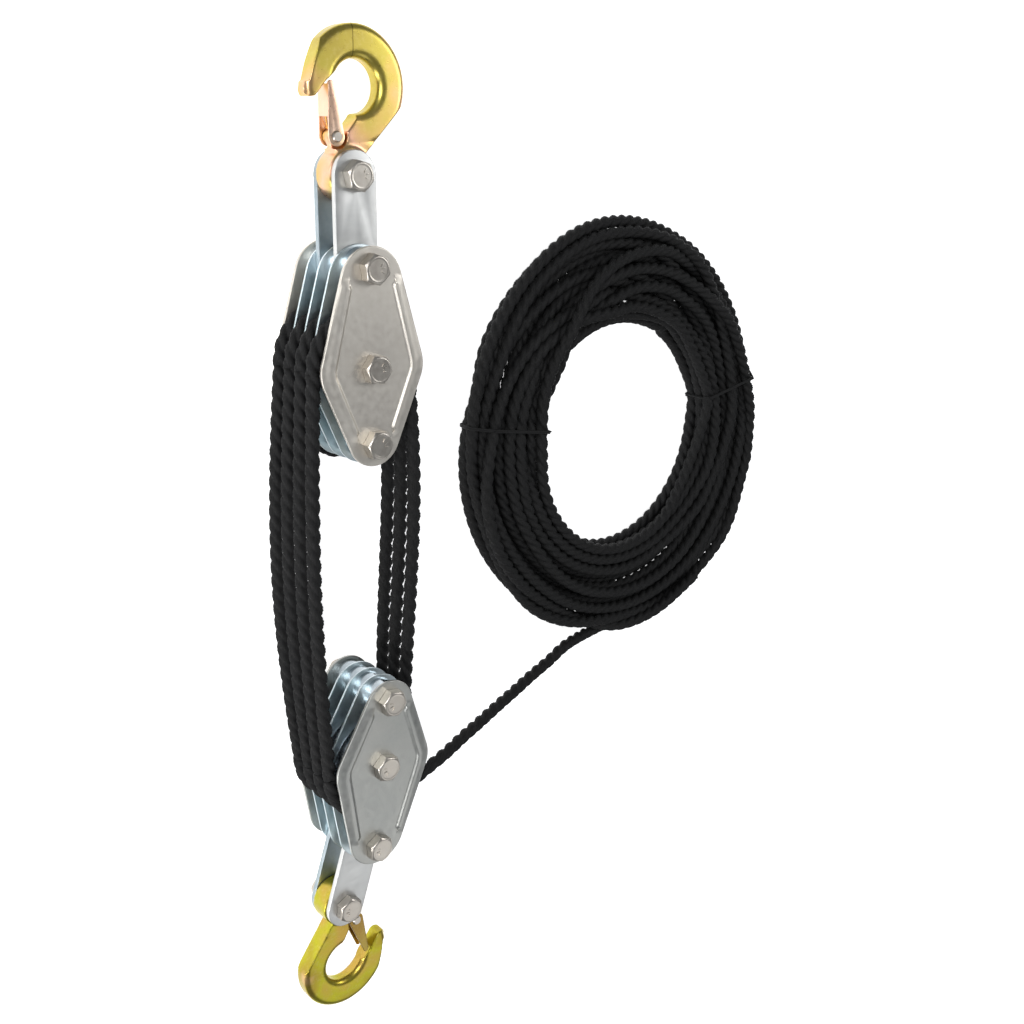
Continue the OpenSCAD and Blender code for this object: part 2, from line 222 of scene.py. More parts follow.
def arc(centre, radius, start, sweep, z):
    """Points on a level arc, with its angles in degrees"""
    count = max(3, int(abs(math.radians(sweep)) * radius / STEP) + 1)
    angles = np.radians(np.linspace(start, start + sweep, count))
    return np.column_stack([centre[0] + radius * np.cos(angles),
                            centre[1] + radius * np.sin(angles), np.full(count, z)])


def wire(name, path, side, up, radius, smooth):
    """Round wire along a path, given the side and up vectors at each point"""
    turn = np.linspace(0, 2 * math.pi, 8, endpoint=False)
    rings = [p + radius * (np.cos(turn)[:, None] * s + np.sin(turn)[:, None] * u)
             for p, s, u in zip(path, side, up)]
    return fix_normals(rings_mesh(name, rings, smooth))


def revolved(name, profile, sides, smooth):
    """Solid of revolution about Z from (radius, height) points"""
    turn = np.linspace(0, 2 * math.pi, sides, endpoint=False)
    rings = [np.column_stack([r * np.cos(turn), r * np.sin(turn), np.full(sides, z)])
             for r, z in profile]
    return fix_normals(rings_mesh(name, rings, smooth))


def hull_outline(circles, count=64):
    """Convex outline round circles given as (x, y, radius), counter-clockwise"""
    turn = np.linspace(0, 2 * math.pi, count, endpoint=False)
    points = sorted({(round(x + r * math.cos(t), 7), round(y + r * math.sin(t), 7))
                     for x, y, r in circles for t in turn})

    def half(run):
        kept = []
        for p in run:
            while len(kept) > 1 and ((kept[-1][0] - kept[-2][0]) * (p[1] - kept[-2][1])
                                     - (kept[-1][1] - kept[-2][1]) * (p[0] - kept[-2][0])) <= 0:
                kept.pop()
            kept.append(p)
        return kept[:-1]

    return half(points) + half(points[::-1])


def circle_outline(x, y, radius, count=48):
    """Points round a circle, the other way round than an outer edge"""
    turn = np.linspace(0, 2 * math.pi, count, endpoint=False)
    return [(x + radius * math.cos(t), y - radius * math.sin(t)) for t in turn]


def flat_part(name, loops, bottom, top, edge):
    """Flat part with rounded edges: its outline, then any holes"""
    curve = bpy.data.curves.new(name, "CURVE")
    curve.dimensions = "2D"
    curve.fill_mode = "BOTH"
    curve.extrude = (top - bottom) / 2 - edge
    curve.bevel_depth = edge
    curve.bevel_resolution = 3
    curve.offset = -edge
    for loop in loops:
        spline = curve.splines.new("POLY")
        spline.points.add(len(loop) - 1)
        for point, (x, y) in zip(spline.points, loop):
            point.co = (x, y, 0, 1)
        spline.use_cyclic_u = True
    maker = bpy.data.objects.new(name, curve)
    mesh = bpy.data.meshes.new_from_object(maker)
    bpy.data.objects.remove(maker)
    mesh.transform(Matrix.Translation((0, 0, (top + bottom) / 2)))
    return fix_normals(add_object(name, mesh, 30))


def finish_piece(piece, place, body, material, slot, *nodes):
    """Puts a piece in its place and says which body, finish and nodes it belongs to"""
    if place is not None:
        piece.data.transform(place)
    piece.data.materials.clear()
    piece.data.materials.append(material)
    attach(piece, body)
    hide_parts(*nodes)


# ---------- materials ----------


class Shader:
    """A material's nodes, with short ways to add and join them"""

    def __init__(self, name):
        self.material = bpy.data.materials.new(name)
        self.material.use_nodes = True
        self.tree = self.material.node_tree
        self.base = self.tree.nodes["Principled BSDF"]

    def add(self, kind, _values=None, **inputs):
        node = self.tree.nodes.new("ShaderNode" + kind)
        for key, value in (_values or {}).items():
            setattr(node, key, value)
        for key, value in inputs.items():
            self.put(node.inputs[key.replace("_", " ")], value)
        return node

    def put(self, socket, value):
        if isinstance(value, bpy.types.NodeSocket):
            self.tree.links.new(value, socket)
        else:
            socket.default_value = value

    def set(self, **inputs):
        for key, value in inputs.items():
            self.put(self.base.inputs[key.replace("_", " ")], value)

    def coordinates(self, scale=(1, 1, 1), kind="Object"):
        source = self.add("TexCoord").outputs[kind]
        return self.add("Mapping", Vector=source, Scale=scale).outputs["Vector"]

    def noise(self, scale, detail=3, stretch=(1, 1, 1), kind="Object"):
        where = self.coordinates(stretch, kind)
        node = self.add("TexNoise", Vector=where, Scale=scale, Detail=detail, Roughness=0.55)
        return node.outputs["Fac"]

    def ramp(self, value, *stops):
        """Colours over a value, as (place, colour) pairs"""
        node = self.add("ValToRGB", Fac=value)
        ramp = node.color_ramp
        while len(ramp.elements) < len(stops):
            ramp.elements.new(0.5)
        for element, (place, colour) in zip(ramp.elements, stops):
            element.position = place
            element.color = (*colour, 1)
        return node.outputs["Color"]

    def between(self, value, low, high, to_low, to_high):
        node = self.add("MapRange", Value=value)
        for key, number in zip(("From Min", "From Max", "To Min", "To Max"),
                               (low, high, to_low, to_high)):
            node.inputs[key].default_value = number
        return node.outputs["Result"]

    def mix(self, share, first, second):
        node = self.add("Mix", {"data_type": "RGBA"})
        for socket, value in zip((node.inputs[0], node.inputs[6], node.inputs[7]),
                                 (share, first, second)):
            if not isinstance(value, (float, int, bpy.types.NodeSocket)):
                value = (*value, 1)
            self.put(socket, value)
        return node.outputs[2]

    def bump(self, value, strength, distance, after=None):
        node = self.add("Bump", Height=value, Strength=strength, Distance=distance)
        if after is not None:
            self.put(node.inputs["Normal"], after)
        return node.outputs["Normal"]


def zinc(name, dark, light, rough=(0.25, 0.4), grain=0.15, stretch=(1, 1, 1)):
    """Zinc plate over steel: cloudy tint, faint scuffs and fine grain"""
    s = Shader(name)
    cloud = s.noise(26, 4)
    scuff = s.noise(240, 5, stretch)
    colour = s.ramp(cloud, (0.3, dark), (0.7, light))
    colour = s.mix(0.12, colour, s.ramp(scuff, (0.35, dark), (0.75, (0.95, 0.95, 0.93))))
    s.set(Base_Color=colour, Metallic=1.0)
    s.set(Roughness=s.between(scuff, 0.3, 0.75, *rough))
    s.set(Normal=s.bump(scuff, grain, 0.06 * MM, s.bump(cloud, 0.25, 0.5 * MM)))
    return s.material


SEAM_X = 4 * MM
SEAM_START = 176 * MM  # the dark seam shows beyond this y


def chromate(name, stops, line=None):
    """Yellow chromate on a forging: bands of tint, speckle, pits and perhaps a dark seam"""
    s = Shader(name)
    drift = s.noise(13, 3)
    speckle = s.noise(420, 4)
    pits = s.noise(900, 2)
    colour = s.ramp(drift, *stops)
    colour = s.mix(s.between(speckle, 0.5, 0.8, 0, 0.14), colour, (0.95, 0.85, 0.45))
    if line is not None:
        where = s.add("SeparateXYZ", Vector=s.coordinates())
        away = s.add("Math", {"operation": "SUBTRACT"})
        s.put(away.inputs[0], where.outputs["X"])
        away.inputs[1].default_value = line
        size = s.add("Math", {"operation": "ABSOLUTE"})
        s.put(size.inputs[0], away.outputs[0])
        mark = s.between(size.outputs[0], 0.15 * MM, 0.5 * MM, 0.75, 0)
        above = s.between(where.outputs["Y"], SEAM_START, SEAM_START + 4 * MM, 0, 1)
        both = s.add("Math", {"operation": "MULTIPLY"})
        s.put(both.inputs[0], mark)
        s.put(both.inputs[1], above)
        colour = s.mix(both.outputs[0], colour, (0.10, 0.07, 0.02))
    s.set(Base_Color=colour, Metallic=1.0)
    s.set(Roughness=s.between(speckle, 0.3, 0.8, 0.27, 0.35))
    s.set(Normal=s.bump(speckle, 0.03, 0.03 * MM, s.bump(pits, 0.03, 0.02 * MM)))
    return s.material


def rope_material():
    """Dull black fibre, its yarns running along the rope"""
    s = Shader("rope_black")
    yarn = s.noise(1, 3, (42, 9, 1), "UV")
    fuzz = s.noise(1500, 3)
    colour = s.ramp(yarn, (0.3, (0.005, 0.005, 0.005)), (0.75, (0.016, 0.016, 0.0165)))
    s.set(Base_Color=colour, Roughness=s.between(fuzz, 0.3, 0.7, 0.55, 0.85))
    s.set(Specular_IOR_Level=0.22)
    s.set(Normal=s.bump(yarn, 0.6, 0.5 * MM, s.bump(fuzz, 0.4, 0.2 * MM)))
    return s.material


def make_materials():
    """Every finish of the object, by name"""
    olive = (0.44, 0.34, 0.08)
    gold = (0.70, 0.46, 0.16)
    lime = (0.56, 0.46, 0.09)
    pink = (0.86, 0.50, 0.34)
    brown = (0.30, 0.18, 0.05)
    tints = ((0.30, olive), (0.42, lime), (0.50, gold), (0.58, pink), (0.68, lime))
    # Darker copies of the hook tints for the lower hook: painted shade.
    shaded_tints = ((0.30, (0.34, 0.24, 0.03)), (0.42, (0.50, 0.33, 0.07)), (0.50, (0.45, 0.42, 0.03)),
            (0.58, (0.38, 0.28, 0.04)), (0.68, pink))
    return {
        # The two blocks' outer plates are one zinc in two copies: the upper copy is lighter and
        # warmer (painted light and painted reflection), the lower copy darker (painted shade).
        "upper_plate": zinc("upper_plate_zinc_lit", (0.65, 0.61, 0.55), (0.73, 0.69, 0.62),
                            (0.40, 0.52)),
        "lower_plate": zinc("lower_plate_zinc_shaded", (0.43, 0.44, 0.42), (0.51, 0.51, 0.48),
                            (0.36, 0.50)),
        "separator": zinc("separator_zinc", (0.50, 0.60, 0.62), (0.74, 0.82, 0.86),
                          (0.28, 0.42), 0.05),
        "spacer": zinc("spacer_zinc", (0.32, 0.38, 0.42), (0.52, 0.58, 0.62), (0.14, 0.26)),
        "strap": zinc("strap_zinc", (0.56, 0.565, 0.56), (0.70, 0.705, 0.69), (0.36, 0.50),
                      0.2, (0.2, 1, 1)),
        # The back strap is the same zinc as the front one, painted darker and bluer: painted shade.
        "shaded_strap": zinc("shaded_strap_zinc", (0.30, 0.36, 0.39), (0.42, 0.49, 0.53),
                           (0.36, 0.50), 0.04),
        "bolt": zinc("bolt_steel", (0.47, 0.43, 0.38), (0.58, 0.54, 0.48), (0.28, 0.40), 0.12),
        # Near-black zinc for the sheaves: painted shade and painted dark reflection of the ropes on
        # zinc-plated steel.
        "sheave": zinc("sheave_zinc", (0.12, 0.14, 0.16), (0.24, 0.27, 0.30), (0.2, 0.4)),
        "bush": zinc("bush_bronze", (0.42, 0.27, 0.10), (0.60, 0.42, 0.18), (0.3, 0.5)),
        "upper_hook": chromate("hook_chromate", tints, SEAM_X),
        "lower_hook": chromate("lower_hook_chromate_shaded", shaded_tints),
        "upper_latch": chromate("latch_chromate", ((0.35, pink), (0.55, (0.92, 0.66, 0.50)),
                                                   (0.7, gold))),
        # The lower latch takes darker copies of the latch tints: painted shade.
        "lower_latch": chromate("lower_latch_chromate_shaded", ((0.35, brown), (0.55, olive),
                                                         (0.7, (0.7, 0.42, 0.2)))),
        "spring": chromate("spring_chromate", ((0.3, (0.85, 0.45, 0.08)), (0.7, gold))),
        "rope": rope_material(),
    }


# ---------- plates ----------

WAIST = 40.5 * MM
WAIST_R = 24 * MM
PLATE_T = 2.5 * MM
HOOK_ROUND = (0, 55.5 * MM, 24 * MM)
THROAT_ROUND = (0, -46 * MM, 20.5 * MM)
BOLT_HOLE_R = 6.25 * MM
RIDGE_LINE = [(19, 53), (32, 3), (32, -3), (16, -41)]  # millimetres, from the axle
RIDGE_RISE = 1.5 * MM
RIDGE_TOP = 0.8 * MM  # half the width of its flat top
RIDGE_INNER = 2.6 * MM  # width of the slope on either side
RIDGE_OUTER = 7.0 * MM


def plate_outline():
    """Outline that every plate of a block shares"""
    waists = [(side * (WAIST - WAIST_R), 0, WAIST_R) for side in (-1, 1)]
    return hull_outline([HOOK_ROUND, THROAT_ROUND, *waists], 96)


def even_outline(outline, count):
    """The same number of points at even steps round any outline"""
    loop = np.array(outline + outline[:1])
    along = path_lengths(loop)
    places = np.linspace(0, along[-1], count, endpoint=False)
    return np.column_stack([np.interp(places, along, loop[:, i]) for i in range(2)])


def ridge_height(points):
    """Rise of the two pressed ridges: a short slope inside, a long one to the edge"""
    line = np.array(RIDGE_LINE) * MM
    spot = np.column_stack([np.abs(points[:, 0]), points[:, 1]])
    best = np.full(len(spot), 1.0)
    inner = np.zeros(len(spot), bool)
    for a, b in zip(line[:-1], line[1:]):
        run = b - a
        t = np.clip(((spot - a) @ run) / (run @ run), 0, 1)
        gap = spot - (a + t[:, None] * run)
        far = np.linalg.norm(gap, axis=1)
        closer = far < best
        best[closer] = far[closer]
        inner[closer] = (run[0] * gap[closer, 1] - run[1] * gap[closer, 0]) < 0
    width = np.where(inner, RIDGE_INNER, RIDGE_OUTER)
    return RIDGE_RISE * (1 - ease((best - RIDGE_TOP) / width))


def outer_plate(name, bottom, top, facing):
    """Outer plate with pressed ridges on its outer face and rounded edges"""
    edge = even_outline(plate_outline(), 300)
    spine = np.column_stack([np.zeros(len(edge)), np.clip(edge[:, 1], -41 * MM, 50 * MM)])
    round_r = 0.7 * MM
    turn = np.linspace(0, math.pi / 2, 5)
    inward = spine - edge
    reach = np.linalg.norm(inward, axis=1)[:, None]
    inward /= reach
    half = (top - bottom) / 2
    mid = (top + bottom) / 2
    rings = []

    def ring(distance, height, ridged):
        plan = edge + inward * distance
        rise = ridge_height(plan) if ridged else 0
        z = mid + facing * (height + rise)
        rings.append(np.column_stack([plan, np.broadcast_to(z, len(plan))]))

    for share in np.linspace(0.999, 0.1, 5):
        ring(share * reach, -half, False)
    for a in turn[::-1]:
        ring(round_r * (1 - math.cos(a)), -(half - round_r) - round_r * math.sin(a), False)
    for a in turn:
        ring(round_r * (1 - math.cos(a)), half - round_r + round_r * math.sin(a), False)
    for share in np.linspace(0.02, 0.999, 60):
        ring(round_r + share * (reach - round_r), half, True)
    return fix_normals(rings_mesh(name, rings, 50))


def separator_plate(name, z, thickness):
    """Flat plate between two bays"""
    holes = [circle_outline(0, y, BOLT_HOLE_R) for y in (HOOK_END, 0, -THROAT_END)]
    return flat_part(name, [plate_outline(), *holes], z, z + thickness, 0.35 * MM)


# ---------- bolts ----------

HEAD_AF = 18 * MM
HEAD_H = 7.5 * MM
BOLT_R = 6 * MM
THREAD_PITCH = 1.75 * MM


def hex_radius(angles, across):
    """Distance from a hexagon's centre to its edge at each angle"""
    folded = (np.degrees(angles) + 30) % 60 - 30
    return across / 2 / np.cos(np.radians(folded))


def bolt_head(name, z, turn):
    """Hexagon head with its top chamfered to a round face, and raised marks on it"""
    angles = np.linspace(0, 2 * math.pi, 120, endpoint=False)
    outer = hex_radius(angles, HEAD_AF)
    face_r = 0.47 * HEAD_AF
    shoulder = HEAD_H - (outer - face_r) * math.tan(math.radians(30))

    def ring(radius, height):
        radius = np.broadcast_to(radius, len(angles))
        height = np.broadcast_to(height, len(angles))
        return np.column_stack([radius * np.cos(angles), radius * np.sin(angles), height])

    soft = 0.25 * MM
    sunk = HEAD_H - 0.1 * MM
    rings = [ring(0.1 * MM, 0), ring(outer - 2 * soft, 0), ring(outer, soft),
             ring(outer, shoulder - soft), ring(outer - soft, shoulder + 0.3 * soft),
             ring(face_r, HEAD_H - 0.4 * soft), ring(face_r - soft, HEAD_H),
             ring(face_r - 1.2 * MM, HEAD_H), ring(face_r - 1.5 * MM, sunk),
             ring(face_r - 1.8 * MM, sunk), ring(face_r - 2.1 * MM, sunk), ring(0.1 * MM, sunk)]
    head = fix_normals(rings_mesh(name, rings, 28))
    marks = [grade_mark(name, t) for t in (-38, 0, 38)]
    head = joined(name, [head, *marks], 28)
    head.data.transform(Matrix.Translation((0, 0, z))
                        @ Matrix.Rotation(math.radians(turn), 4, "Z"))
    return head


def grade_mark(name, turn):
    """Short raised bar on a head's face"""
    bar = flat_part(name, [[(2.6 * MM, -0.35 * MM), (5.2 * MM, -0.35 * MM),
                            (5.2 * MM, 0.35 * MM), (2.6 * MM, 0.35 * MM)]],
                    HEAD_H - 0.3 * MM, HEAD_H + 0.3 * MM, 0.12 * MM)
    bar.data.transform(Matrix.Rotation(math.radians(turn), 4, "Z"))
    return bar


def bolt_shank(name, top, end, threaded):
    """Shank with a chamfered end and thread rings over its last stretch"""
    profile = [(0.1 * MM, end), (BOLT_R - 1.1 * MM, end), (BOLT_R - 0.2 * MM, end + 0.9 * MM)]
    z = end + 1.0 * MM
    while z < end + threaded:
        profile += [(BOLT_R, z), (BOLT_R, z + 0.15 * THREAD_PITCH),
                    (BOLT_R - 0.8 * MM, z + 0.55 * THREAD_PITCH)]
        z += THREAD_PITCH
    profile += [(BOLT_R, z), (BOLT_R, top), (0.1 * MM, top)]
    return revolved(name, profile, 48, 40)


def bolt(name, x, y, head_z, end_z, turn, threaded=15 * MM):
    """Bolt with its head on head_z and its shank down to end_z"""
    head = bolt_head(name + "_head", head_z, turn)
    shank = bolt_shank(name + "_shank", head_z + 1 * MM, end_z, threaded)
    whole = joined(name, [head, shank], 28)
    whole.data.transform(Matrix.Translation((x, y, 0)))
    return whole


# ---------- straps ----------

STRAP_W = 32 * MM
STRAP_T = 4 * MM


def strap(name, bottom):
    """Flat bar with round ends, rounded edges and a hole at each end"""
    outline = hull_outline([(0, 0, STRAP_W / 2), (0, STRAP_LEN, STRAP_W / 2)], 96)
    holes = [circle_outline(0, y, BOLT_R) for y in (0, STRAP_LEN)]
    return flat_part(name, [outline, *holes], bottom, bottom + STRAP_T, 0.6 * MM)


# ---------- hooks and latches ----------

BOWL = (6.5 * MM, 54 * MM)
BOWL_R = 37.3 * MM
MOUTH = (7 * MM, 54 * MM)
MOUTH_R = 16.5 * MM
PIVOT = (-9 * MM, 23.5 * MM)
LATCH_TIP = (-12.4 * MM, 55 * MM)
LATCH_HALF = 4.8 * MM
LATCH_T = 1.2 * MM
PIVOT_ROUND = 6 * MM
TIP_ROUND = 2.2 * MM
LATCH_HOLE = 2.6 * MM
WEB_START = 12 * MM  # of the latch's web, from its pivot
SPRING_R = 0.45 * MM
HOOK_HALF = 7 * MM
VOXEL = 0.75 * MM
WEB_HALF = 2 * MM  # the middle of the forging isn't shaped
LEAST_HALF = 2.2 * MM
NECK_END = 20 * MM  # only the bowl beyond this y is shaped
BEAK_START = 40 * MM  # and only beyond this one does the point thin
BITE = (5.5 * MM, 4.5 * MM)  # width and depth of the rounding along the mouth
LIP = (4.5 * MM, 3 * MM)  # and along the back
BEAK = (28 * MM, 3 * MM)  # run and depth of the thinning behind the point


def rounding(gap, width, depth):
    """How far a face drops near an edge, as a quarter of an ellipse"""
    near = max(0, 1 - max(gap, 0) / width)
    return depth * (1 - math.sqrt(max(0, 1 - near ** 2)))


def apply_modifiers(piece):
    """Replaces a piece's mesh with the modified one"""
    bpy.context.view_layer.update()
    shaped = piece.evaluated_get(bpy.context.evaluated_depsgraph_get())
    mesh = bpy.data.meshes.new_from_object(shaped)
    piece.modifiers.clear()
    piece.data = mesh


def forged_hook(side):
    """Hook forging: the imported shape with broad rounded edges, softened as if forged"""
    name = side + "_forged_hook"
    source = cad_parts[side + "_hook"]
    piece = bpy.data.objects.new(name, source.data.copy())
    bpy.context.scene.collection.objects.link(piece)
    voxels = piece.modifiers.new("voxels", "REMESH")
    voxels.mode = "VOXEL"
    voxels.voxel_size = VOXEL
    apply_modifiers(piece)
    to_local = in_hook(side).inverted()
    to_world = in_hook(side)
    for v in piece.data.vertices:
        p = to_local @ v.co
        off = p.z - MID_Z
        inner = math.hypot(p.x - MOUTH[0], p.y - MOUTH[1]) - MOUTH_R
        outer = BOWL_R - math.hypot(p.x - BOWL[0], p.y - BOWL[1])
        if p.y < NECK_END or abs(off) < WEB_HALF:
            continue
        limit = HOOK_HALF - rounding(inner, *BITE) - rounding(outer, *LIP)
        if p.y > BEAK_START and off < 0:
            limit -= BEAK[1] * float(ease(-p.x / BEAK[0]))
        p.z = MID_Z + math.copysign(min(abs(off), max(limit, LEAST_HALF)), off)
        v.co = to_world @ p
    soften = piece.modifiers.new("soften", "SMOOTH")
    soften.factor = 0.5
    soften.iterations = 9
    apply_modifiers(piece)
    piece.data.shade_smooth()
    return piece


def latch(side):
    """Pressed channel: two tapered cheeks, and a web bent along the outer edge"""
    name = side + "_latch_channel"
    outline = hull_outline([(*PIVOT, PIVOT_ROUND), (*LATCH_TIP, TIP_ROUND)], 48)
    hole = circle_outline(*PIVOT, LATCH_HOLE, 32)
    cheeks = [flat_part(name, [outline, hole], MID_Z + z, MID_Z + z + LATCH_T, 0.3 * MM)
              for z in (-LATCH_HALF - LATCH_T, LATCH_HALF)]
    run = Vector(LATCH_TIP) - Vector(PIVOT)
    lean = math.asin((PIVOT_ROUND - TIP_ROUND) / run.length)
    heading = math.atan2(run.y, run.x) + math.pi / 2 - lean
    out = Vector((math.cos(heading), math.sin(heading)))
    along = Vector((out.y, -out.x))
    if along.dot(run) < 0:
        along = -along
    start = Vector(PIVOT) + out * PIVOT_ROUND + along * WEB_START
    end = Vector(LATCH_TIP) + out * TIP_ROUND
    web = flat_part(name, [[tuple(start - out * LATCH_T), tuple(end - out * LATCH_T), tuple(end),
                            tuple(start)]],
                    MID_Z - LATCH_HALF - LATCH_T, MID_Z + LATCH_HALF + LATCH_T, 0.35 * MM)
    return joined(name, [*cheeks, web], 30)


def latch_spring(side):
    """Torsion spring: a coil either side of the lug, with a leg under the web"""
    name = side + "_torsion_spring"
    parts = []
    for sign in (-1, 1):
        turn = np.linspace(0, 2 * math.pi * 1.25, 60)
        start = MID_Z + sign * 3.0 * MM
        coil = np.column_stack([PIVOT[0] + 4 * MM * np.cos(turn), PIVOT[1] + 4 * MM * np.sin(turn),
                                start + sign * turn / (2 * math.pi) * 1.1 * MM])
        leg = coil[-1] + np.outer(np.linspace(0.1, 1, 8), (-3.2 * MM, 10 * MM, -sign * 2.4 * MM))
        path = np.vstack([coil, leg])
        parts.append(wire(name, path, *frames_along(path), SPRING_R, 60))
    return joined(name, parts, 60)


# ---------- rope ----------

WRAP_R = 37.5 * MM
WRAP_X = -4 * MM
ANCHOR_R = 14.2 * MM
HAUL_TURN = -72.2  # where the haul line leaves its sheave
FALL_GAP = 0.8 * MM
FALL_BOW = 10 * MM


def rope_section():
    """Outline of three pressed strands, with its points as angle and distance"""
    strand = 0.61 * ROPE_R
    offset = 0.44 * ROPE_R
    reach = math.radians(98)
    section = []
    for k in range(3):
        middle = 2 * math.pi * k / 3
        for a in np.linspace(-reach, reach, 6):
            x = offset + strand * math.cos(a)
            y = strand * math.sin(a)
            angle = middle + math.atan2(y, x)
            section.append((angle, math.hypot(x, y)))
    return np.array(section)


SECTION = rope_section()


def rope(name, path, start):
    """Three-strand rope along a path, with UVs; start is the length of rope before it"""
    side, up = frames_along(path)
    along = path_lengths(path) + start
    angle = SECTION[None, :, 0] + (2 * math.pi * along / ROPE_PITCH)[:, None]
    radius = SECTION[None, :, 1]
    x = (radius * np.cos(angle))[..., None]
    y = (radius * np.sin(angle))[..., None]
    rings = path[:, None] + x * side[:, None] + y * up[:, None]
    piece = rings_mesh(name, rings, 80)
    around = angle.ravel() / (2 * math.pi)
    lengths = np.repeat(along, len(SECTION))
    around = np.append(around, [around[0], around[-1]])
    lengths = np.append(lengths, [lengths[0], lengths[-1]])
    layer = piece.data.uv_layers.new(name="yarn")
    corners = np.zeros(len(piece.data.loops), int)
    piece.data.loops.foreach_get("vertex_index", corners)
    pairs = np.column_stack([around[corners], lengths[corners] * YARN_SCALE])
    layer.data.foreach_set("uv", pairs.ravel())
    return piece


def left_fall(k):
    """From upper bay k down to lower bay k"""
    t = np.linspace(0, 1, int(AXLE_GAP / STEP))
    bow = FALL_BOW - 1.5 * MM * (k - 1)
    return np.column_stack([WRAP_X - WRAP_R + LOWER_X * t - bow * np.sin(math.pi * t),
                            -t * (AXLE_GAP - FALL_GAP), np.full(len(t), bay_z(k))])


def right_fall(k):
    """From lower bay k up to upper bay k + 1"""
    t = np.linspace(1, 0, int(AXLE_GAP / STEP))
    cross = ease((t - 0.14) / 0.72)
    bow = 2 * MM * k
    return np.column_stack([WRAP_X + WRAP_R + LOWER_X * t + bow * np.sin(math.pi * t),
                            -t * (AXLE_GAP - FALL_GAP), bay_z(k + 1) - cross * BAY_PITCH])


def tangent_turn():
    """Angle at which the rope's end leaves the first sheave for the thin spacer"""
    gap_x = -WRAP_X
    gap_y = -THROAT_END
    near = math.acos((WRAP_R - ANCHOR_R) / math.hypot(gap_x, gap_y))
    return math.degrees(math.atan2(gap_y, gap_x) + near)


def reeving():
    """Every stretch of rope from its end to the haul line, by the piece it belongs to"""
    top = (WRAP_X, 0)
    foot = (WRAP_X + LOWER_X, -AXLE_GAP)
    turn = tangent_turn()
    low = arc((0, -THROAT_END), ANCHOR_R, 180, 180 + turn, bay_z(1))
    leave = arc(top, WRAP_R, turn, 180 - turn, bay_z(1))
    straight = low[-1] + np.outer(np.linspace(0, 1, 12)[1:-1], leave[0] - low[-1])
    stretches = [("upper", np.vstack([low, straight, leave]))]
    for k in (1, 2, 3, 4):
        stretches.append(("falls", left_fall(k)))
        if k < 4:
            stretches.append(("lower", arc(foot, WRAP_R, 180, 180, bay_z(k))))
            stretches.append(("falls", right_fall(k)))
            stretches.append(("upper", arc(top, WRAP_R, 0, 180, bay_z(k + 1))))
    stretches.append(("lower", arc(foot, WRAP_R, 180, 180 + HAUL_TURN, bay_z(4))))
    return stretches


# ---------- haul line and coil ----------

HAUL_POINTS = [
    (0.029, -0.3244, 0.0620), (0.049, -0.318, 0.0610), (0.069, -0.314, 0.0575),
    (0.091, -0.310, 0.0515), (0.114, -0.307, 0.0450), (0.138, -0.303, 0.0385),
    (0.162, -0.299, 0.0325), (0.186, -0.294, 0.0270), (0.210, -0.289, 0.0225),
    (0.238, -0.2815, 0.0180)
]
COIL = (300 * MM, -97 * MM)
COIL_INNER = 104 * MM
COIL_OUTER = 195 * MM
COIL_LOW = 6.2 * MM
COIL_HIGH = 27.2 * MM
TURNS = 19
TIE_ANGLES = (171, 10)
TIE_R = 0.8 * MM
TURN_POINTS = 96  # points on each turn while it settles
TIE_SPREAD = 11  # degrees of the band that a tie draws in
ROUNDS = 260
CLOSE = 0.985  # how near two turns may lie, as a share of the rope's width
GIVE = 0.45  # share of an overlap by which each of the two turns moves
HASTE = 1.4  # factor on these moves, to settle in fewer rounds
EVEN = 0.18  # share by which each round straightens the rope
SINK = 0.05 * MM  # by which each round lowers it
NEIGHBOURS = 6  # points this close along the rope aren't pushed apart
CHUNK = 200  # points compared with all others at a time


def band_edges(angle):
    """Inner and outer radius of the coil's band: it bulges at two corners"""
    outer = COIL_OUTER + 15 * MM * np.cos(2 * (angle - math.radians(122)))
    outer = outer + 5 * MM * np.cos(3 * (angle - math.radians(200)))
    inner = COIL_INNER - 6 * MM * np.cos(angle - math.radians(55))
    return inner, outer


def coil_start():
    """The turns before they settle: each drifts between places in three layers, and crosses"""
    rng = np.random.default_rng(11)
    x, y, _ = HAUL_POINTS[-1]
    first = math.atan2(y - COIL[1], x - COIL[0])
    low = np.linspace(COIL_INNER, COIL_OUTER, 7)
    middle = (low[:-1] + low[1:]) / 2
    high = np.linspace(COIL_INNER, COIL_OUTER, 6)
    radii = np.concatenate([low[[6, 4, 5, 2, 3, 0, 1]], middle[[0, 2, 1, 4, 3, 5]],
                            high[[5, 2, 4, 0, 3, 1]], high[-1:]])
    heights = np.repeat([COIL_LOW, COIL_LOW + 10.5 * MM, COIL_HIGH], (7, 6, 6))
    heights = np.append(heights, COIL_HIGH)
    turn = np.arange((TURNS + 0.15) * TURN_POINTS) / TURN_POINTS
    index = np.minimum(turn.astype(int), TURNS - 1)
    start = rng.uniform(0.05, 0.6, TURNS)
    share = ease((turn - index - start[index]) / 0.4)
    radius = radii[index] * (1 - share) + radii[index + 1] * share
    height = heights[index] * (1 - share) + heights[index + 1] * share
    height = height + 6 * MM * np.sin(math.pi * share)
    angle = first + 2 * math.pi * turn
    calm = np.clip(6 * np.minimum(turn - index, 1 - turn + index), 0, 1)
    for wave in (1, 2, 3):
        own = rng.uniform(0, 2 * math.pi, TURNS)
        radius = radius + calm * 5 * MM / wave * np.sin(wave * angle + own[index])
    inner, outer = band_edges(angle)
    radius = inner + (radius - COIL_INNER) * (outer - inner) / (COIL_OUTER - COIL_INNER)
    lead = TURN_POINTS // 4
    height[:lead] = np.linspace(HAUL_POINTS[-1][2], height[lead], lead)
    return np.column_stack([COIL[0] + radius * np.cos(angle), COIL[1] + radius * np.sin(angle),
                            height])


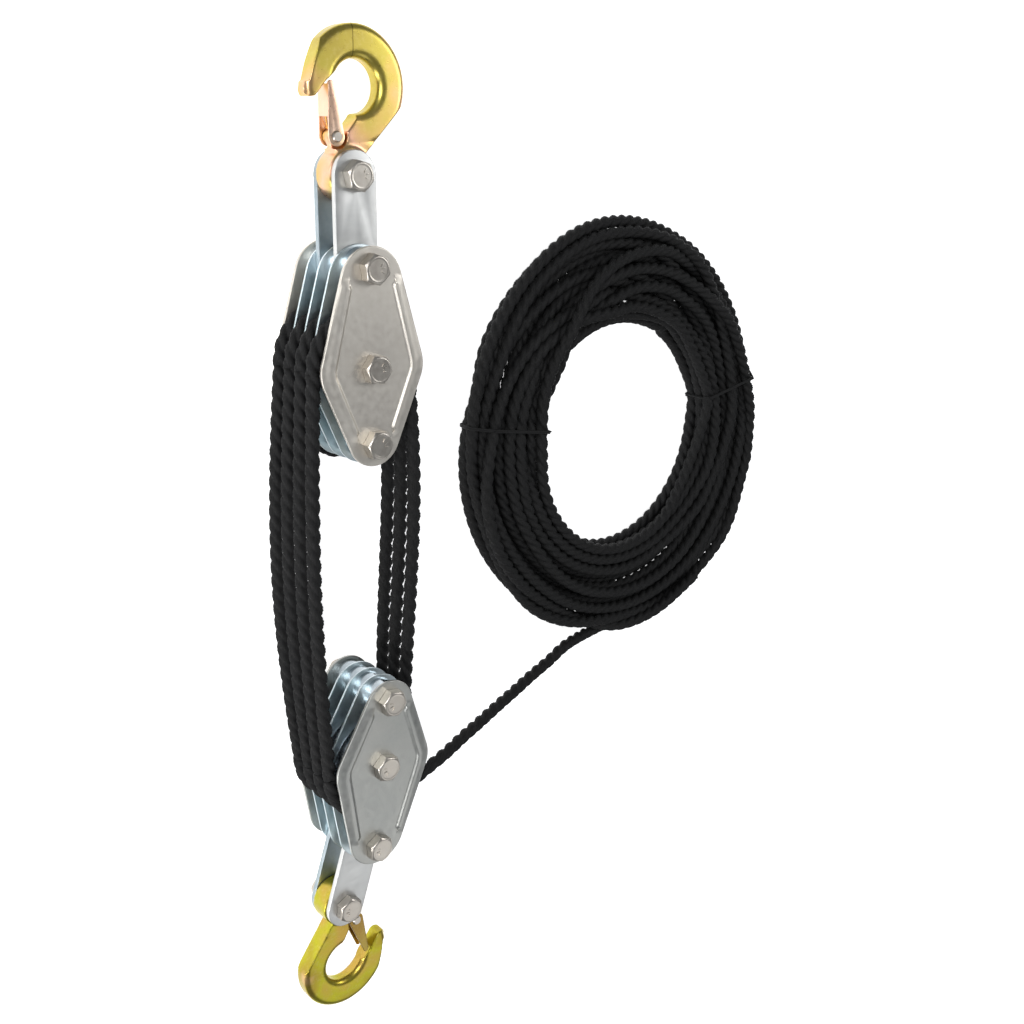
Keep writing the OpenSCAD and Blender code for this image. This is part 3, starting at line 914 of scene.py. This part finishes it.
def tie_pinch(angle):
    """How far the ties draw the band in at an angle: 1 at a tie, 0 well away"""
    return sum(np.exp(-(((angle - a + 180) % 360 - 180) / TIE_SPREAD) ** 2)
               for a in TIE_ANGLES)


def settle(points, rounds):
    """Pushes turns apart to a rope's width, inside the band, keeping the rope's run even"""
    gap = 2 * ROPE_R * CLOSE
    held = points[0].copy()
    for step in range(rounds):
        if step % 8 == 0:
            rows, columns = near_pairs(points, gap * 1.35)
        apart = points[rows] - points[columns]
        far = np.linalg.norm(apart, axis=1)
        touch = far < gap
        size = (gap - far[touch]) * GIVE / np.maximum(far[touch], 1e-6)
        push = apart[touch] * size[:, None]
        moves = np.zeros_like(points)
        hits = np.zeros(len(points))
        np.add.at(moves, rows[touch], push)
        np.add.at(moves, columns[touch], -push)
        np.add.at(hits, rows[touch], 1)
        np.add.at(hits, columns[touch], 1)
        points = points + moves / np.maximum(hits, 1)[:, None] * HASTE
        points[1:-1] += EVEN * (0.5 * (points[:-2] + points[2:]) - points[1:-1])
        flat = points[:, :2] - COIL
        shrink = EVEN * STEP ** 2 / 2 / (flat ** 2).sum(axis=1)
        points[:, :2] += flat * shrink[:, None]
        points[:, 2] -= SINK
        flat = points[:, :2] - COIL
        radius = np.linalg.norm(flat, axis=1)
        turned = np.arctan2(flat[:, 1], flat[:, 0])
        inner, outer = band_edges(turned)
        pinch = tie_pinch(np.degrees(turned))
        inside = np.clip(radius, inner - 3 * MM + 4 * MM * pinch, outer + 3 * MM - 6 * MM * pinch)
        points[:, :2] = COIL + flat * (inside / radius)[:, None]
        points[:, 2] = np.clip(points[:, 2], COIL_LOW - 0.9 * MM,
                               COIL_HIGH + 9 * MM - 6 * MM * pinch)
        points[0] = held
    return points


def near_pairs(points, reach):
    """Pairs of points closer than reach that are not neighbours on the rope"""
    rows = []
    columns = []
    for start in range(0, len(points), CHUNK):
        part = points[start:start + CHUNK]
        far = np.linalg.norm(part[:, None] - points[None], axis=2)
        i, j = np.nonzero(far < reach)
        i += start
        keep = j - i > NEIGHBOURS
        rows.append(i[keep])
        columns.append(j[keep])
    return np.concatenate(rows), np.concatenate(columns)


def haul_path():
    """From the lower block along the haul line and through every turn of the coil"""
    angle = math.radians(HAUL_TURN)
    start = (WRAP_X + LOWER_X + WRAP_R * math.cos(angle), -AXLE_GAP + WRAP_R * math.sin(angle),
             bay_z(4))
    coil = settle(coil_start(), ROUNDS)
    return resample(np.vstack([start, HAUL_POINTS, coil[4:]]), STEP)


def tie(name, angle, cord_path):
    """Thin cord bound twice round the coil's band, close to its turns"""
    a = math.radians(angle)
    out = np.array([math.cos(a), math.sin(a), 0])
    across = np.array([-math.sin(a), math.cos(a), 0])
    spots = cord_path - np.array([*COIL, 0])
    near = spots[(np.abs(spots @ across) < 4 * MM) & (spots @ out > 0)]
    reach = ROPE_R + TIE_R
    outline = np.array(hull_outline([(p @ out, p[2], reach) for p in near], 32) * 2)
    height = np.maximum(outline[:, 1], 1.5 * TIE_R)
    shift = np.linspace(-1.2 * MM, 1.2 * MM, len(outline))
    path = resample(np.array([*COIL, 0]) + outline[:, :1] * out + shift[:, None] * across
                    + height[:, None] * (0, 0, 1), 3 * MM)
    heading = np.gradient(path, axis=0)
    heading /= np.linalg.norm(heading, axis=1)[:, None]
    side = np.broadcast_to(across, path.shape)
    return wire(name, path, side, np.cross(side, heading), TIE_R, 80)


# ---------- the whole object ----------

REEVED = 4.9  # metres along the rope at which the lay of the haul line starts


def add_cords(looks):
    """The haul line with its coil, and the two ties on it"""
    path = haul_path()
    cord = rope("haul_rope", path, REEVED)
    ties = [tie("coil_tie_" + name, angle, path)
            for name, angle in zip(("left", "right"), TIE_ANGLES)]
    binding = joined("coil_tie_cords", ties, 80)
    finish_piece(cord, None, "lower_block", looks["rope"], "rope_black", "haul_line", "rope_coil")
    finish_piece(binding, None, "lower_block", looks["rope"], "tie_black", "coil_ties")


def add_reeving(looks):
    """The rope between the blocks, with its lay running on from piece to piece"""
    made = {"upper": [], "falls": [], "lower": []}
    run = 0.0
    for number, (where, path) in enumerate(reeving()):
        made[where].append(rope(f"rope_{where}_{number}", path, run))
        run += path_lengths(path)[-1]
    upper = joined("upper_rope_turns", made["upper"], 80)
    lower = joined("lower_rope_turns", made["lower"], 80)
    falls = joined("rope_fall_lines", made["falls"], 80)
    finish_piece(upper, None, "upper_block", looks["rope"], "rope_black", "rope_upper_wraps")
    finish_piece(lower, None, "lower_block", looks["rope"], "rope_black", "rope_lower_wraps")
    finish_piece(falls, None, "upper_block", looks["rope"], "rope_black", "rope_falls")
    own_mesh(falls)


def add_block(side, looks):
    """The plates and bolts of one block"""
    place = BLOCKS[side]
    body = side + "_block"
    # The upper block takes the lighter plate copy (painted light), the lower block the darker one
    # (painted shade).
    plates = looks[side + "_plate"]
    low = height_of(side + "_front_plate")[0]
    front = outer_plate(side + "_pressed_front_plate", low, low + PLATE_T, 1)
    finish_piece(front, place, body, plates, "outer_plate_zinc", side + "_front_plate")
    high = height_of(side + "_back_plate")[1]
    back = outer_plate(side + "_pressed_back_plate", high - PLATE_T, high, -1)
    finish_piece(back, place, body, plates, "outer_plate_zinc", side + "_back_plate")
    for k in (1, 2, 3):
        node = f"{side}_separator_{k}"
        low, high = height_of(node)
        sheet = separator_plate(f"{side}_rounded_separator_{k}", low, high - low)
        finish_piece(sheet, place, body, looks["separator"], "separator_zinc", node)
    head_z = FRONT_Z + PLATE_T
    axle = bolt(side + "_axle_bolt_detail", 0, 0, head_z, 0, 20)
    finish_piece(axle, place, body, looks["bolt"], "bolt_steel", side + "_axle_bolt")
    ends = [bolt(f"{side}_end_{name}", 0, y, head_z, 0, turn)
            for name, y, turn in (("hook", HOOK_END, 10), ("throat", -THROAT_END, 24))]
    ends = joined(side + "_end_bolts_detail", ends, 28)
    finish_piece(ends, place, body, looks["bolt"], "bolt_steel", side + "_end_bolts")


def add_straps(side, looks):
    """The strap pair of one block and its hook bolt"""
    place = in_straps(side)
    body = side + "_straps"
    front_top = height_of(side + "_front_strap")[1]
    front = strap(side + "_front_strap_bar", front_top - STRAP_T)
    finish_piece(front, place, body, looks["strap"], "strap_zinc", side + "_front_strap")
    back = strap(side + "_back_strap_bar", height_of(side + "_back_strap")[0])
    # The back strap takes the darker copy of the strap zinc: painted shade.
    finish_piece(back, place, body, looks["shaded_strap"], "strap_zinc", side + "_back_strap")
    pin = bolt(side + "_hook_bolt_detail", 0, STRAP_LEN, front_top,
               height_of(side + "_hook_bolt")[0], 15, 12 * MM)
    finish_piece(pin, place, body, looks["bolt"], "bolt_steel", side + "_hook_bolt")


def add_hook(side, looks):
    """One hook with its latch and spring"""
    hook = forged_hook(side)
    # The lower block's hook and latch get darker copies of one chromate: painted shade.
    finish_piece(hook, None, side + "_hook", looks[side + "_hook"], "hook_chromate", side + "_hook")
    gate = latch(side)
    finish_piece(gate, in_hook(side), side + "_latch", looks[side + "_latch"], "latch_chromate",
                 side + "_latch")
    spring = latch_spring(side)
    finish_piece(spring, in_hook(side), side + "_hook", looks["spring"], "spring_chromate",
                 side + "_latch_spring")


def finish_packed_nodes(looks):
    """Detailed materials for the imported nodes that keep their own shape"""
    # The sheaves take the near-black zinc: painted shade.
    finishes = {"spacers": "spacer", "sheave": "sheave", "bush": "bush", "nut": "bolt",
                "latch_pin": "bolt", "ferrule": "bolt"}
    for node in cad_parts:
        for word, look in finishes.items():
            if word in node:
                piece = bpy.data.objects[node]
                piece.data.materials.clear()
                piece.data.materials.append(looks[look])


def add_floor():
    """Wide white ground"""
    build = bmesh.new()
    bmesh.ops.create_grid(build, x_segments=2, y_segments=2, size=6)
    mesh = bpy.data.meshes.new("floor")
    build.to_mesh(mesh)
    build.free()
    floor = bpy.data.objects.new("floor", mesh)
    bpy.context.scene.collection.objects.link(floor)
    s = Shader("floor_white")
    s.set(Base_Color=s.ramp(s.noise(0.8), (0.0, (0.93, 0.93, 0.93)), (1.0, (0.95, 0.95, 0.95))))
    s.set(Roughness=0.9, Emission_Color=(1, 1, 1, 1), Emission_Strength=0.72)
    mesh.materials.append(s.material)


def add_light(name, place, aim, size, power):
    """Area light that faces a point"""
    data = bpy.data.lights.new(name, "AREA")
    data.shape = "RECTANGLE"
    data.size, data.size_y = size
    data.energy = power
    lamp = bpy.data.objects.new(name, data)
    lamp.location = place
    lamp.rotation_euler = (Vector(aim) - Vector(place)).to_track_quat("-Z", "Y").to_euler()
    bpy.context.scene.collection.objects.link(lamp)


def add_lights():
    """Softboxes and the plain world around them"""
    aim = (0.05, -0.12, 0.03)
    add_light("key_softbox", (-1.0, 0.5, 1.3), aim, (0.8, 0.8), 13)
    add_light("side_strip", (-1.3, -0.8, 0.7), aim, (0.3, 1.4), 14)
    add_light("fill_softbox", (1.2, 0.3, 1.1), aim, (0.6, 0.6), 5)
    add_light("low_softbox", (0.55, -1.1, 0.95), (0, -0.37, 0.05), (0.7, 0.7), 1.5)
    world = bpy.data.worlds.new("studio")
    world.use_nodes = True
    world.node_tree.nodes["Background"].inputs["Color"].default_value = (0.75, 0.78, 0.82, 1)
    world.node_tree.nodes["Background"].inputs["Strength"].default_value = 0.30
    bpy.context.scene.world = world
    bpy.context.scene.view_settings.view_transform = "Standard"


def main():
    """Builds, finishes and lights the whole object"""
    add_camera()
    looks = make_materials()
    add_cords(looks)
    add_reeving(looks)
    for side in ("upper", "lower"):
        add_block(side, looks)
        add_straps(side, looks)
        add_hook(side, looks)
    finish_packed_nodes(looks)
    add_floor()
    add_lights()


main()
